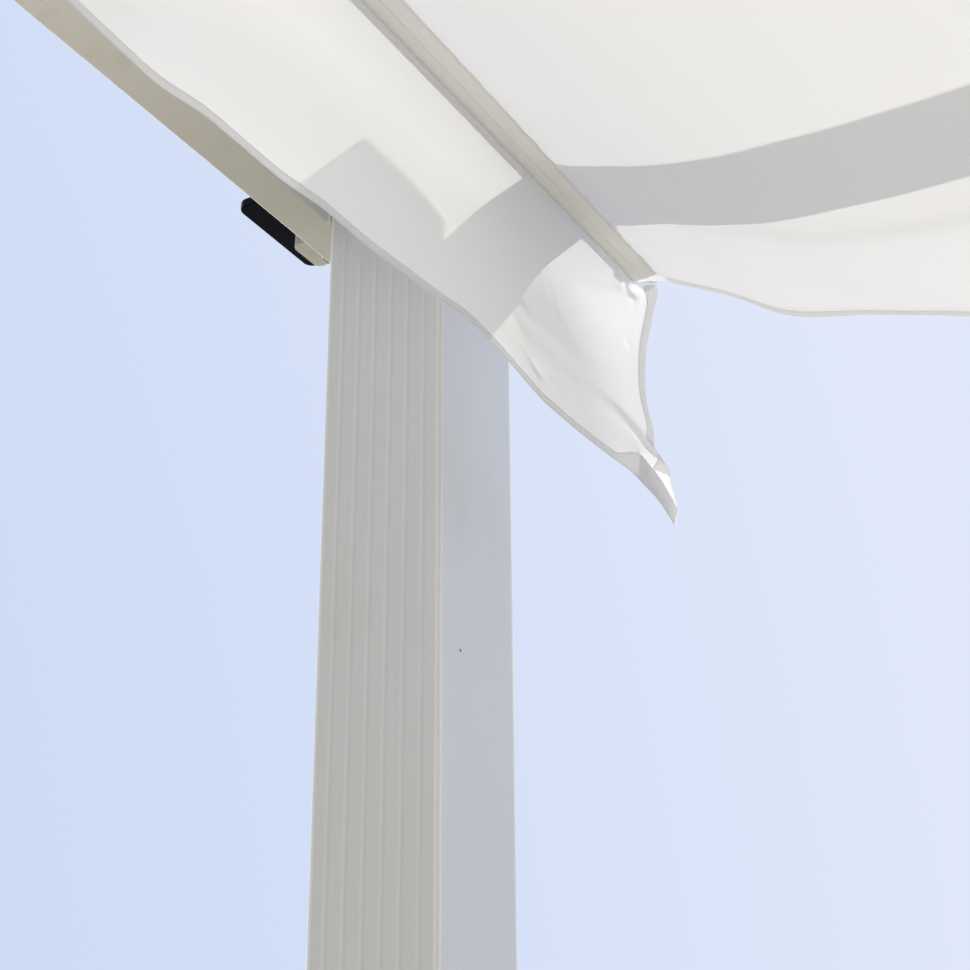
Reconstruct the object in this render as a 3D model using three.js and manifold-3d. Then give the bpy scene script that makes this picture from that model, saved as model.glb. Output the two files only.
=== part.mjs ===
// Garden pergola: four ribbed square posts, beams bolted to the posts' outer faces, and a cloth
// canopy that hangs in bays from rods below the end beams, with a short drop at each side.
// Millimetres, +Z up. The origin is on the ground at the middle of the four posts.
// +X runs along the end beams and +Y along the side beams and the canopy's rods.

import * as THREE from 'three';
import { mergeVertices } from 'three/addons/utils/BufferGeometryUtils.js';
import Module from 'manifold-3d';

const wasm = await Module();
wasm.setup();

// Frame as a whole
const FRAME_LENGTH = 4000; // over the side beams' outer faces, along X
const FRAME_DEPTH = 3000; // over the end beams' outer faces, along Y
const SIDE_BEAM_UNDERSIDE = 2300;
const SEAT = 0.3; // gap where a piece rests on another

// Posts
const POST_SIDE = 100;
const POST_WALL = 2;
const POST_CORNER = 1.5; // chamfer on the upright edges
const GROOVES_A_FACE = 6;
const GROOVE_WIDTH = 2.6;
const GROOVE_DEPTH = 0.9;
const CAP_THICKNESS = 9;
const CAP_BEVEL = 2;

// Foot plates
const FOOT_SIDE = 160;
const FOOT_THICKNESS = 6;
const FOOT_CORNER = 12;
const ANCHOR_HOLE_RADIUS = 5.5;
const ANCHOR_HOLE_INSET = 18;

// Beams
const BEAM_THICKNESS = 33;
const BEAM_WALL = 2;
const SIDE_BEAM_HEIGHT = 103;
const END_BEAM_HEIGHT = 62;
const DRAIN_HOLE_RADIUS = 4;

// Canopy rods and their hangers
const RODS = 6;
const ROD_RADIUS = 9.5;
const ROD_WALL = 1.2;
const ROD_HEIGHT = 2259; // centre line
const ROD_SPREAD = 3534; // between the two outermost rods
const ROD_SIDES = 16;
const ROD_INSET = 16; // rod end inside the free end of the cloth
const HANGER_DEPTH = 12; // along the rod
const HANGER_STEM = 5;
const HANGER_ASIDE = 10; // stem and flange stand this far outwards of the rod
const HANGER_FLANGE = 30;
const HANGER_PLATE = 3;

// Canopy cloth, thicker here than the real weave
const CANOPY_DEPTH = 3014; // along the rods
const CLOTH = 3;
const BAY_SEAM = { out: 10.5, below: 6 }; // where a bay leaves its pocket, from the rod's centre
const BAY_SAG = 170; // below its seams
const BAY_END_SAG = 112; // at a bay's free ends, which their hems hold shorter
const BAY_END_RUN = [40, 310]; // from the free end, where the sag starts and stops growing
const BAY_FULLNESS = 2.5; // exponent of the hanging curve: 2 is a parabola, more is rounder
const BAY_STEPS = 12;
const BAY_STATIONS = [0, 40, 100, 170, 240, 310]; // from each free end, along the rods
const DROP_SEAM = { out: 2, below: 11 }; // where a drop leaves its pocket
const DROP_HEM_HEIGHT = 2060; // lower edge of the cloth that hangs at each side
const DROP_BULGE = 13; // how far a drop swells outwards
const DROP_SWELL_POWER = 0.6; // below 1, so that it swells most near its top
const DROP_LEAN = 11; // how far its lower edge hangs inside the rod
const DROP_STEPS = 8;
const SLOT_ROOM = 1; // clear of a hanger, all round

// Solar lights, one outside each post on the side beam; they end short of the post's far face
const LIGHT_UNDERSIDE = 2327;
const LIGHT_HOUSING = { length: 36, reach: 36, height: 14, corner: 6, short: 20 };
const LIGHT_PANEL = { length: 100, reach: 55, height: 8, corner: 8, short: 5.5 };

// Fineness of the round forms
const HOLE_SIDES = 12;
const ROUND_STEPS = 12; // of a curve in an outline, where nothing else is said
const COARSE_STEPS = 4; // the same, on small round corners
const FOOT_STEPS = 2;
const WELD = 1e-4; // points closer together than this are one

// Places worked out from the sizes above
const sideBeamInner = FRAME_LENGTH / 2 - BEAM_THICKNESS;
const endBeamInner = FRAME_DEPTH / 2 - BEAM_THICKNESS;
const postX = sideBeamInner - SEAT - POST_SIDE / 2;
const postY = endBeamInner - SEAT - POST_SIDE / 2;
const beamTop = SIDE_BEAM_UNDERSIDE + SIDE_BEAM_HEIGHT;
const endBeamUnderside = beamTop - END_BEAM_HEIGHT;
const bayWidth = ROD_SPREAD / (RODS - 1);
const pocketInner = ROD_RADIUS + SEAT;
const pocketOuter = pocketInner + CLOTH;
const hangerY = endBeamInner + BEAM_THICKNESS / 2;

const corners = [
  { name: 'front_left', x: -1, y: -1 },
  { name: 'front_right', x: 1, y: -1 },
  { name: 'back_left', x: -1, y: 1 },
  { name: 'back_right', x: 1, y: 1 },
];

const finishes = {
  whiteMetal: { color: 0xe9eae8, roughness: 0.42, metalness: 0.0 },
  whitePlastic: { color: 0xe6e5df, roughness: 0.5, metalness: 0.0 },
  rodMetal: { color: 0xc9cbcc, roughness: 0.4, metalness: 0.6 },
  cloth: { color: 0xf1efe9, roughness: 0.9, metalness: 0.0 },
  blackPlastic: { color: 0x141518, roughness: 0.3, metalness: 0.0 },
};

const pergola = new THREE.Group();

function addPiece(name, geometry, finish, x = 0, y = 0, z = 0) {
  const material = new THREE.MeshStandardMaterial({ ...finish, side: THREE.DoubleSide });
  const mesh = new THREE.Mesh(geometry, material);
  mesh.name = name;
  mesh.position.set(x, y, z);
  pergola.add(mesh);
}

// A closed geometry as a manifold solid, for joining and cutting
function solidOf(geometry) {
  const bare = geometry.clone();
  bare.deleteAttribute('normal');
  bare.deleteAttribute('uv');
  const merged = mergeVertices(bare, WELD);
  return new wasm.Manifold(
    new wasm.Mesh({
      numProp: 3,
      vertProperties: new Float32Array(merged.attributes.position.array),
      triVerts: new Uint32Array(merged.index.array),
    }),
  );
}

function geometryOf(solid) {
  const mesh = solid.getMesh();
  const geometry = new THREE.BufferGeometry();
  geometry.setAttribute('position', new THREE.BufferAttribute(mesh.vertProperties, 3));
  geometry.setIndex(new THREE.BufferAttribute(mesh.triVerts, 1));
  geometry.computeVertexNormals();
  return geometry;
}

function boxBetween(low, high) {
  const size = high.map((value, axis) => value - low[axis]);
  const geometry = new THREE.BoxGeometry(...size);
  geometry.translate(...low.map((value, axis) => value + size[axis] / 2));
  return geometry;
}

// A flat outline in X and Z, carried along +Y from `start` for `length`
function alongY(shape, start, length, { curveSegments = ROUND_STEPS, steps = 1 } = {}) {
  const geometry = new THREE.ExtrudeGeometry(shape, {
    depth: length,
    bevelEnabled: false,
    curveSegments,
    steps,
  });
  geometry.rotateX(Math.PI / 2);
  geometry.translate(0, start + length, 0);
  return geometry;
}

function alongX(shape, start, length) {
  const geometry = alongY(shape, start, length);
  geometry.rotateZ(-Math.PI / 2);
  return geometry;
}

function rectangle(width, height) {
  const points = [
    [-width / 2, -height / 2],
    [width / 2, -height / 2],
    [width / 2, height / 2],
    [-width / 2, height / 2],
  ];
  return points.map(([x, y]) => new THREE.Vector2(x, y));
}

function circle(radius, sides, x = 0, y = 0) {
  return Array.from({ length: sides }, (_, i) => {
    const angle = (i * 2 * Math.PI) / sides;
    return new THREE.Vector2(x + radius * Math.cos(angle), y + radius * Math.sin(angle));
  });
}

// A rectangle against the line y = 0, with its two far corners rounded
function tongue(length, reach, radius) {
  const half = length / 2;
  const shape = new THREE.Shape();
  shape.moveTo(-half, 0);
  shape.lineTo(half, 0);
  shape.lineTo(half, reach - radius);
  shape.absarc(half - radius, reach - radius, radius, 0, Math.PI / 2, false);
  shape.lineTo(-half + radius, reach);
  shape.absarc(-half + radius, reach - radius, radius, Math.PI / 2, Math.PI, false);
  shape.closePath();
  return shape;
}

// One face of the post's section, from chamfer to chamfer, with its V grooves: [along, depth]
function groovedFace() {
  const half = POST_SIDE / 2;
  const pitch = POST_SIDE / (GROOVES_A_FACE + 1);
  const points = [[-half + POST_CORNER, 0]];
  for (let i = 1; i <= GROOVES_A_FACE; i += 1) {
    const middle = -half + i * pitch;
    points.push([middle - GROOVE_WIDTH / 2, 0]);
    points.push([middle, GROOVE_DEPTH]);
    points.push([middle + GROOVE_WIDTH / 2, 0]);
  }
  points.push([half - POST_CORNER, 0]);
  return points;
}

// Square tube whose front and back faces are ribbed by six shallow grooves
function postGeometry(height) {
  const half = POST_SIDE / 2;
  const front = groovedFace().map(([along, depth]) => new THREE.Vector2(along, -half + depth));
  const back = groovedFace().map(([along, depth]) => new THREE.Vector2(-along, half - depth));
  const right = [
    new THREE.Vector2(half, -half + POST_CORNER),
    new THREE.Vector2(half, half - POST_CORNER),
  ];
  const left = right.map((point) => point.clone().negate());
  const shape = new THREE.Shape([...front, ...right, ...back, ...left]);
  const inside = POST_SIDE - 2 * (POST_WALL + GROOVE_DEPTH);
  shape.holes.push(new THREE.Path(rectangle(inside, inside).reverse()));
  return new THREE.ExtrudeGeometry(shape, { depth: height, bevelEnabled: false });
}

function capGeometry() {
  const inner = POST_SIDE - 2 * CAP_BEVEL;
  return new THREE.ExtrudeGeometry(new THREE.Shape(rectangle(inner, inner)), {
    depth: CAP_THICKNESS - 2 * CAP_BEVEL,
    bevelEnabled: true,
    bevelSize: CAP_BEVEL,
    bevelThickness: CAP_BEVEL,
    bevelSegments: 2,
  });
}

function footGeometry() {
  const half = FOOT_SIDE / 2;
  const run = half - FOOT_CORNER;
  const shape = new THREE.Shape();
  shape.moveTo(-run, -half);
  shape.lineTo(run, -half);
  shape.absarc(run, -run, FOOT_CORNER, -Math.PI / 2, 0, false);
  shape.lineTo(half, run);
  shape.absarc(run, run, FOOT_CORNER, 0, Math.PI / 2, false);
  shape.lineTo(-run, half);
  shape.absarc(-run, run, FOOT_CORNER, Math.PI / 2, Math.PI, false);
  shape.lineTo(-half, -run);
  shape.absarc(-run, -run, FOOT_CORNER, Math.PI, 1.5 * Math.PI, false);
  const hole = half - ANCHOR_HOLE_INSET;
  for (const { x, y } of corners) {
    const edge = circle(ANCHOR_HOLE_RADIUS, HOLE_SIDES, x * hole, y * hole);
    shape.holes.push(new THREE.Path(edge.reverse()));
  }
  return new THREE.ExtrudeGeometry(shape, {
    depth: FOOT_THICKNESS,
    bevelEnabled: false,
    curveSegments: FOOT_STEPS,
  });
}

function addPosts() {
  const foot = FOOT_THICKNESS + SEAT;
  for (const { name, x, y } of corners) {
    addPiece(`foot_plate_${name}`, footGeometry(), finishes.whiteMetal, x * postX, y * postY);
    const post = postGeometry(beamTop - foot);
    addPiece(`post_${name}`, post, finishes.whiteMetal, x * postX, y * postY, foot);
    const capBase = beamTop + SEAT + CAP_BEVEL;
    addPiece(`post_cap_${name}`, capGeometry(), finishes.whitePlastic, x * postX, y * postY, capBase);
  }
}

// Box tube with closed ends and one drain hole in the middle of its underside
function sideBeamGeometry() {
  const half = BEAM_THICKNESS / 2;
  const end = FRAME_DEPTH / 2;
  const outside = boxBetween([-half, -end, 0], [half, end, SIDE_BEAM_HEIGHT]);
  const inside = boxBetween(
    [-half + BEAM_WALL, -end + BEAM_WALL, BEAM_WALL],
    [half - BEAM_WALL, end - BEAM_WALL, SIDE_BEAM_HEIGHT - BEAM_WALL],
  );
  const radius = DRAIN_HOLE_RADIUS;
  const drain = new THREE.CylinderGeometry(radius, radius, 4 * BEAM_WALL, HOLE_SIDES);
  drain.rotateX(Math.PI / 2);
  const tube = solidOf(outside).subtract(solidOf(inside)).subtract(solidOf(drain));
  return geometryOf(tube);
}

// Open box tube between the two side beams
function endBeamGeometry() {
  const shape = new THREE.Shape(rectangle(BEAM_THICKNESS, END_BEAM_HEIGHT));
  const inside = rectangle(BEAM_THICKNESS - 2 * BEAM_WALL, END_BEAM_HEIGHT - 2 * BEAM_WALL);
  shape.holes.push(new THREE.Path(inside.reverse()));
  const reach = sideBeamInner - SEAT;
  return alongX(shape, -reach, 2 * reach);
}

function addBeams() {
  const sideX = (FRAME_LENGTH - BEAM_THICKNESS) / 2;
  const sideZ = SIDE_BEAM_UNDERSIDE;
  addPiece('side_beam_left', sideBeamGeometry(), finishes.whiteMetal, -sideX, 0, sideZ);
  addPiece('side_beam_right', sideBeamGeometry(), finishes.whiteMetal, sideX, 0, sideZ);
  const endY = endBeamInner + BEAM_THICKNESS / 2;
  const endZ = endBeamUnderside + END_BEAM_HEIGHT / 2;
  addPiece('end_beam_front', endBeamGeometry(), finishes.whiteMetal, 0, -endY, endZ);
  addPiece('end_beam_back', endBeamGeometry(), finishes.whiteMetal, 0, endY, endZ);
}

function rodX(index) {
  return -ROD_SPREAD / 2 + index * bayWidth;
}

function rodGeometry() {
  const shape = new THREE.Shape(circle(ROD_RADIUS, ROD_SIDES));
  shape.holes.push(new THREE.Path(circle(ROD_RADIUS - ROD_WALL, ROD_SIDES).reverse()));
  const length = CANOPY_DEPTH - 2 * ROD_INSET;
  return alongY(shape, -length / 2, length);
}

// A flange under the end beam, a stem, and a saddle over the rod's upper half
function hangerGeometry(side) {
  const top = endBeamUnderside - SEAT - ROD_HEIGHT;
  const outer = pocketOuter;
  const half = HANGER_STEM / 2;
  const aside = side * HANGER_ASIDE;
  const shape = new THREE.Shape();
  shape.moveTo(-outer, 0);
  shape.absarc(0, 0, outer, Math.PI, Math.acos((aside - half) / outer), true);
  shape.lineTo(aside - half, top - HANGER_PLATE);
  shape.lineTo(aside - HANGER_FLANGE / 2, top - HANGER_PLATE);
  shape.lineTo(aside - HANGER_FLANGE / 2, top);
  shape.lineTo(aside + HANGER_FLANGE / 2, top);
  shape.lineTo(aside + HANGER_FLANGE / 2, top - HANGER_PLATE);
  shape.lineTo(aside + half, top - HANGER_PLATE);
  shape.absarc(0, 0, outer, Math.acos((aside + half) / outer), 0, true);
  shape.lineTo(pocketInner, 0);
  shape.absarc(0, 0, pocketInner, 0, Math.PI, false);
  return alongY(shape, -HANGER_DEPTH / 2, HANGER_DEPTH, { curveSegments: COARSE_STEPS });
}

function addRods() {
  for (let i = 0; i < RODS; i += 1) {
    const x = rodX(i);
    addPiece(`canopy_rod_${i + 1}`, rodGeometry(), finishes.rodMetal, x, 0, ROD_HEIGHT);
    for (const [end, side] of [['front', -1], ['back', 1]]) {
      const name = `rod_hanger_${end}_${i + 1}`;
      const geometry = hangerGeometry(Math.sign(x));
      addPiece(name, geometry, finishes.whitePlastic, x, side * hangerY, ROD_HEIGHT);
    }
  }
}

// How far a bay hangs below its seams at `y` along them and `t`, from 0 to 1, across the bay
function bayDepth(y, t) {
  const rise = THREE.MathUtils.smoothstep(CANOPY_DEPTH / 2 - Math.abs(y), ...BAY_END_RUN);
  const sag = THREE.MathUtils.lerp(BAY_END_SAG, BAY_SAG, rise);
  return sag * (1 - Math.abs(1 - 2 * t) ** BAY_FULLNESS);
}

// Cloth between two rods: a ribbon with its free end's curve, let down further inside
function bayGeometry(index) {
  const fromX = rodX(index) + BAY_SEAM.out;
  const width = bayWidth - 2 * BAY_SEAM.out;
  const half = CANOPY_DEPTH / 2;
  const stations = BAY_STATIONS.map((inside) => -half + inside);
  stations.push(...BAY_STATIONS.map((inside) => half - inside).reverse());
  const upper = [];
  const lower = [];
  for (let i = 0; i <= BAY_STEPS; i += 1) {
    const t = i / BAY_STEPS;
    const x = fromX + t * width;
    const z = -BAY_SEAM.below - bayDepth(half, t);
    upper.push(new THREE.Vector2(x, z + CLOTH / 2));
    lower.push(new THREE.Vector2(x, z - CLOTH / 2));
  }
  const ribbon = new THREE.Shape([...lower, ...upper.reverse()]);
  const steps = stations.length - 1;
  const geometry = alongY(ribbon, 0, steps, { steps });
  const points = geometry.attributes.position;
  for (let i = 0; i < points.count; i += 1) {
    const y = stations[Math.round(points.getY(i))];
    const t = (points.getX(i) - fromX) / width;
    points.setY(i, y);
    points.setZ(i, points.getZ(i) + bayDepth(half, t) - bayDepth(y, t));
  }
  return geometry;
}

// Cloth that hangs at one side, in X and Z about the rod: it swells outwards and ends leaning in
function dropShape(side) {
  const inner = [];
  const outer = [];
  for (let i = 0; i <= DROP_STEPS; i += 1) {
    const s = i / DROP_STEPS;
    const swell = DROP_BULGE * Math.sin(Math.PI * s ** DROP_SWELL_POWER);
    const out = THREE.MathUtils.lerp(DROP_SEAM.out, -DROP_LEAN, s * s) + swell;
    const x = side * (ROD_SPREAD / 2 + out);
    const z = THREE.MathUtils.lerp(-DROP_SEAM.below, DROP_HEM_HEIGHT - ROD_HEIGHT, s);
    inner.push(new THREE.Vector2(x - CLOTH / 2, z));
    outer.push(new THREE.Vector2(x + CLOTH / 2, z));
  }
  return new THREE.Shape([...inner, ...outer.reverse()]);
}

// The whole canopy: a pocket round each rod, a bay between rods, and a drop at each side,
// with a slot through the top of each pocket where a hanger comes down to its rod
function canopyGeometry() {
  const start = -CANOPY_DEPTH / 2;
  let cloth = null;
  const join = (geometry) => {
    const solid = solidOf(geometry);
    cloth = cloth ? cloth.add(solid) : solid;
  };
  for (let i = 0; i < RODS; i += 1) {
    const pocket = new THREE.Shape(circle(pocketOuter, ROD_SIDES, rodX(i), 0));
    join(alongY(pocket, start, CANOPY_DEPTH));
  }
  for (let i = 0; i < RODS - 1; i += 1) {
    join(bayGeometry(i));
  }
  for (const side of [-1, 1]) {
    join(alongY(dropShape(side), start, CANOPY_DEPTH));
  }
  const slotX = pocketOuter + SLOT_ROOM;
  const slotY = HANGER_DEPTH / 2 + SLOT_ROOM;
  for (let i = 0; i < RODS; i += 1) {
    const bore = new THREE.Shape(circle(pocketInner, ROD_SIDES, rodX(i), 0));
    cloth = cloth.subtract(solidOf(alongY(bore, 2 * start, 2 * CANOPY_DEPTH)));
    for (const side of [-1, 1]) {
      const y = side * hangerY;
      const low = [rodX(i) - slotX, y - slotY, -SLOT_ROOM];
      const high = [rodX(i) + slotX, y + slotY, 2 * pocketOuter];
      cloth = cloth.subtract(solidOf(boxBetween(low, high)));
    }
  }
  return geometryOf(cloth);
}

// A plate on edge against the side beam, reaching outwards with its far corners rounded
function lightGeometry({ length, reach, height, corner }, side) {
  const shape = tongue(length, reach - SEAT, corner);
  const geometry = new THREE.ExtrudeGeometry(shape, {
    depth: height,
    bevelEnabled: false,
    curveSegments: COARSE_STEPS,
  });
  geometry.rotateZ((-side * Math.PI) / 2);
  return geometry;
}

function addLights() {
  const faceX = FRAME_LENGTH / 2 + SEAT;
  const postFar = postY + POST_SIDE / 2;
  const panelZ = LIGHT_UNDERSIDE + LIGHT_HOUSING.height + SEAT;
  for (const { name, x, y } of corners) {
    const housing = lightGeometry(LIGHT_HOUSING, x);
    const housingY = y * (postFar - LIGHT_HOUSING.short - LIGHT_HOUSING.length / 2);
    const housingName = `light_housing_${name}`;
    addPiece(housingName, housing, finishes.whitePlastic, x * faceX, housingY, LIGHT_UNDERSIDE);
    const panel = lightGeometry(LIGHT_PANEL, x);
    const panelY = y * (postFar - LIGHT_PANEL.short - LIGHT_PANEL.length / 2);
    addPiece(`light_panel_${name}`, panel, finishes.blackPlastic, x * faceX, panelY, panelZ);
  }
}

addPosts();
addBeams();
addRods();
addPiece('canopy_cloth', canopyGeometry(), finishes.cloth, 0, 0, ROD_HEIGHT);
addLights();

export default pergola;
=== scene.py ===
"""Garden pergola with a sliding cloth canopy: the looks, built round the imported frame.

Metres, +Z up, origin on the ground at the middle of the four posts. +X runs along the end beams
and +Y along the side beams and the canopy's rods. The camera looks up at the back left corner.
"""

from math import radians

import bmesh
import bpy
import numpy as np
from mathutils import Matrix, Vector


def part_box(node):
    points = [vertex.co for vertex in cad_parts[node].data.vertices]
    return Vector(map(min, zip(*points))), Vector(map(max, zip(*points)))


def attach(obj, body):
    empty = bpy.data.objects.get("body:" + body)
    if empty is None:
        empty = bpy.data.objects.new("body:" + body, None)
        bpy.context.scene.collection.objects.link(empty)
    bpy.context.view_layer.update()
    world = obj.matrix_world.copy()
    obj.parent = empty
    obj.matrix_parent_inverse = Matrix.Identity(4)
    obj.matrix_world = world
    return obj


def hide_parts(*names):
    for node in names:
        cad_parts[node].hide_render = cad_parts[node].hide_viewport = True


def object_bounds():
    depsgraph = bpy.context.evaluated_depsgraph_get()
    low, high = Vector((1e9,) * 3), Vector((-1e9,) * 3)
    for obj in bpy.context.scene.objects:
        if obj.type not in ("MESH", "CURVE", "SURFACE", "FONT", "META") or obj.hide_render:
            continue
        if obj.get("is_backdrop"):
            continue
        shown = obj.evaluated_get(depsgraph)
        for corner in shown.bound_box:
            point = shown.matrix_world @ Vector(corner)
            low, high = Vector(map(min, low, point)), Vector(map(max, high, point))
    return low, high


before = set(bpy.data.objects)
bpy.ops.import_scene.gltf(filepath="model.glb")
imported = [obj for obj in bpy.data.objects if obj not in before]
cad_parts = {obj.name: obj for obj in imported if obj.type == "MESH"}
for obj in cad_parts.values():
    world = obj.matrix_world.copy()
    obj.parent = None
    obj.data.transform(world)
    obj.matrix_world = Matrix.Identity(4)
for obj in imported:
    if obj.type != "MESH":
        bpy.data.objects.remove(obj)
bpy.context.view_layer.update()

CORNERS = {
    "front_left": (-1, -1),
    "front_right": (1, -1),
    "back_left": (-1, 1),
    "back_right": (1, 1),
}
SIDES = {"left": -1, "right": 1}
ENDS = {"front": -1, "back": 1}
MM = 0.001

# Camera, at the photograph's viewing angle
CAMERA_PLACE = (-1.228, 0.3405, 1.437)
CAMERA_TURN, CAMERA_TILT, CAMERA_ROLL = radians(30.43), radians(90 + 26.83), radians(-0.41)
CAMERA_LENS = 73.1

# Light
SUN_HEADING = (0.249, -0.661, -0.722)
SUN_STRENGTH = 1.95
SUN_COLOUR = (1.0, 0.96, 0.88)
SUN_WIDTH = radians(0.35)
SKY = {  # radiance overhead, and low down towards each side
    "overhead": (0.73, 0.72, 0.71),
    "left": (1.6, 1.6, 1.55),
    "right": (0.2, 0.25, 0.35),
    "back": (1.15, 1.25, 1.55),
}


def node_box(name):
    """Lowest and highest corner of a CAD node, as arrays."""
    low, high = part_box(name)
    return np.array(low), np.array(high)


# Shader helpers


class Signal:
    """A shader socket that arithmetic works on: each operator adds one Math node."""

    def __init__(self, shader, socket):
        self.shader = shader
        self.socket = socket

    def math(self, operation, *others):
        inputs = dict(enumerate((self, *others)))
        return self.shader.node("ShaderNodeMath", {"operation": operation}, inputs)[0]

    def __add__(self, other):
        return self.math("ADD", other)

    def __mul__(self, other):
        return self.math("MULTIPLY", other)

    def __sub__(self, other):
        return self.math("SUBTRACT", other)

    def __rsub__(self, other):
        return self.shader.node("ShaderNodeMath", {"operation": "SUBTRACT"}, {0: other, 1: self})[0]

    __radd__ = __add__
    __rmul__ = __mul__

    def steps(self, low, high):
        """0 below `low`, 1 above `high`, smooth between; turned round where low is above high."""
        settings = {"interpolation_type": "SMOOTHSTEP"}
        inputs = {"Value": self, "From Min": low, "From Max": high}
        return self.shader.node("ShaderNodeMapRange", settings, inputs)["Result"]


class Outputs:
    """A node's outputs, by name or by number, as signals."""

    def __init__(self, shader, node):
        self.shader = shader
        self.node = node

    def __getitem__(self, key):
        return Signal(self.shader, self.node.outputs[key])


class Shader:
    """The nodes of one material or of the world."""

    def __init__(self, owner):
        self.owner = owner
        self.owner.use_nodes = True
        self.tree = self.owner.node_tree
        self.tree.nodes.clear()

    def node(self, kind, settings=None, inputs=None):
        """Adds a node: its settings first, then the values or links of its sockets."""
        made = self.tree.nodes.new(kind)
        for key, value in (settings or {}).items():
            setattr(made, key, value)
        for key, value in (inputs or {}).items():
            if isinstance(value, Signal):
                self.tree.links.new(value.socket, made.inputs[key])
            else:
                made.inputs[key].default_value = value
        return Outputs(self, made)

    def parts(self, vector):
        """The three parts of a vector."""
        split = self.node("ShaderNodeSeparateXYZ", None, {0: vector})
        return split["X"], split["Y"], split["Z"]

    def place(self):
        """The point's place on the object, in metres."""
        return self.node("ShaderNodeTexCoord")["Object"]

    def own_map(self, name):
        """One of the piece's own maps, in metres."""
        return self.node("ShaderNodeUVMap", {"uv_map": name})["UV"]

    def stretched(self, point, scale):
        """The point with each axis multiplied by its own number."""
        settings = {"operation": "MULTIPLY"}
        return self.node("ShaderNodeVectorMath", settings, {0: point, 1: scale})["Vector"]

    def noise(self, point, scale, detail=2.0, roughness=0.5):
        """Smooth noise, about 0.5 on average."""
        inputs = {"Vector": point, "Scale": scale, "Detail": detail, "Roughness": roughness}
        return self.node("ShaderNodeTexNoise", {"normalize": True}, inputs)["Fac"]

    def blend(self, factor, first, second):
        """Colour `first` where the factor is 0 and `second` where it is 1."""
        settings = {"data_type": "RGBA"}
        return self.node("ShaderNodeMix", settings, {0: factor, 6: first, 7: second})[2]

    def bump(self, height, strength, distance, normal=None):
        """A normal bent by a height that is given in units of `distance`."""
        inputs = {"Strength": strength, "Distance": distance, "Height": height}
        if normal is not None:
            inputs["Normal"] = normal
        return self.node("ShaderNodeBump", None, inputs)["Normal"]

    def principled(self, inputs):
        return self.node("ShaderNodeBsdfPrincipled", None, inputs)["BSDF"]

    def surface(self, closure):
        self.node("ShaderNodeOutputMaterial", None, {"Surface": closure})
        return self.owner


def colour(red, green, blue):
    """A colour given as it shows on a screen, 0 to 255, in linear light with an alpha of 1."""
    shown = np.array([red, green, blue]) / 255
    linear = np.where(shown <= 0.04045, shown / 12.92, ((shown + 0.055) / 1.055) ** 2.4)
    return (*linear.tolist(), 1.0)


def darker(shade, share):
    """A shade with each of its parts multiplied by a share."""
    return [part * share for part in shade]


# Materials


def powder_coat(name, shade, chip=None, end_shade=0.0):
    """White powder coat on metal: orange peel, faint draw lines, dust and handling marks.

    Painted shade darkens it a little further down, and the last argument darkens it with painted shade
    towards the two ends along Y.
    A painted highlight, a paler line, follows the posts' round corners.
    """
    shader = Shader(bpy.data.materials.new(name))
    low, high = node_box("post_back_right")
    middle, half = (low + high) / 2, (high[0] - low[0]) / 2
    point = shader.place()
    x, y, z = shader.parts(point)
    peel = shader.noise(point, 620.0, 2.0)
    cloud = shader.noise(point, 3.2, 3.0)
    marks = shader.noise(shader.stretched(point, (1.0, 1.0, 0.22)), 34.0, 4.0, 0.6)
    lines = shader.noise(shader.stretched(point, (1.0, 1.0, 0.002)), 260.0, 1.0)
    dust = z.steps(0.5, 0.0) * marks.steps(0.35, 0.7)
    # painted shade: darker further down, and towards the two ends along Y by the last argument
    painted_shade = z.steps(2.4, 0.9) * 0.5 + y.math("ABSOLUTE").steps(0.95, 1.35) * end_shade
    across, along = [
        ((part.math("ABSOLUTE") - float(place)).math("ABSOLUTE") - float(half)).math("ABSOLUTE")
        for part, place in ((x, middle[0]), (y, middle[1]))
    ]
    # painted highlight: a paler line along the posts' round corners
    corner_highlight = (across + along).steps(0.0045, 0.0025)
    tone = shader.blend(cloud.steps(0.3, 0.7), colour(*shade), colour(*darker(shade, 0.98)))
    tone = shader.blend(marks.steps(0.55, 0.85) * 0.35, tone, colour(205, 206, 202))
    # the painted shade's colour is blended in here
    tone = shader.blend(painted_shade, tone, colour(186, 185, 176))
    tone = shader.blend(dust * 0.4, tone, colour(176, 168, 152))
    tone = shader.blend(corner_highlight * 0.65, tone, colour(250, 252, 249))
    if chip is not None:
        away = {"operation": "DISTANCE"}
        far = shader.node("ShaderNodeVectorMath", away, {0: point, 1: chip})["Value"]
        tone = shader.blend(far.steps(0.0016, 0.0008), tone, colour(52, 50, 48))
    inputs = {
        "Base Color": tone,
        "Roughness": cloud * 0.1 + marks * 0.16 + 0.24,
        "Normal": shader.bump(peel * 0.5 + lines * 0.5, 0.35, 0.0002),
        "Coat Weight": 0.12,
        "Coat Roughness": 0.22,
    }
    return shader.surface(shader.principled(inputs))


def moulded_plastic(name, shade, rough=0.46, shine=0.5):
    """Plain moulded plastic with a fine spark-eroded grain and a little handling dirt."""
    shader = Shader(bpy.data.materials.new(name))
    point = shader.place()
    fine = shader.noise(point, 900.0, 2.0)
    cloud = shader.noise(point, 22.0, 4.0, 0.6)
    inputs = {
        "Base Color": shader.blend(
            cloud.steps(0.4, 0.75), colour(*shade), colour(*darker(shade, 0.93))
        ),
        "Roughness": cloud * 0.14 + (rough - 0.07),
        "Specular IOR Level": shine,
        "Normal": shader.bump(fine, 0.4, 0.00015),
    }
    return shader.surface(shader.principled(inputs))


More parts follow.
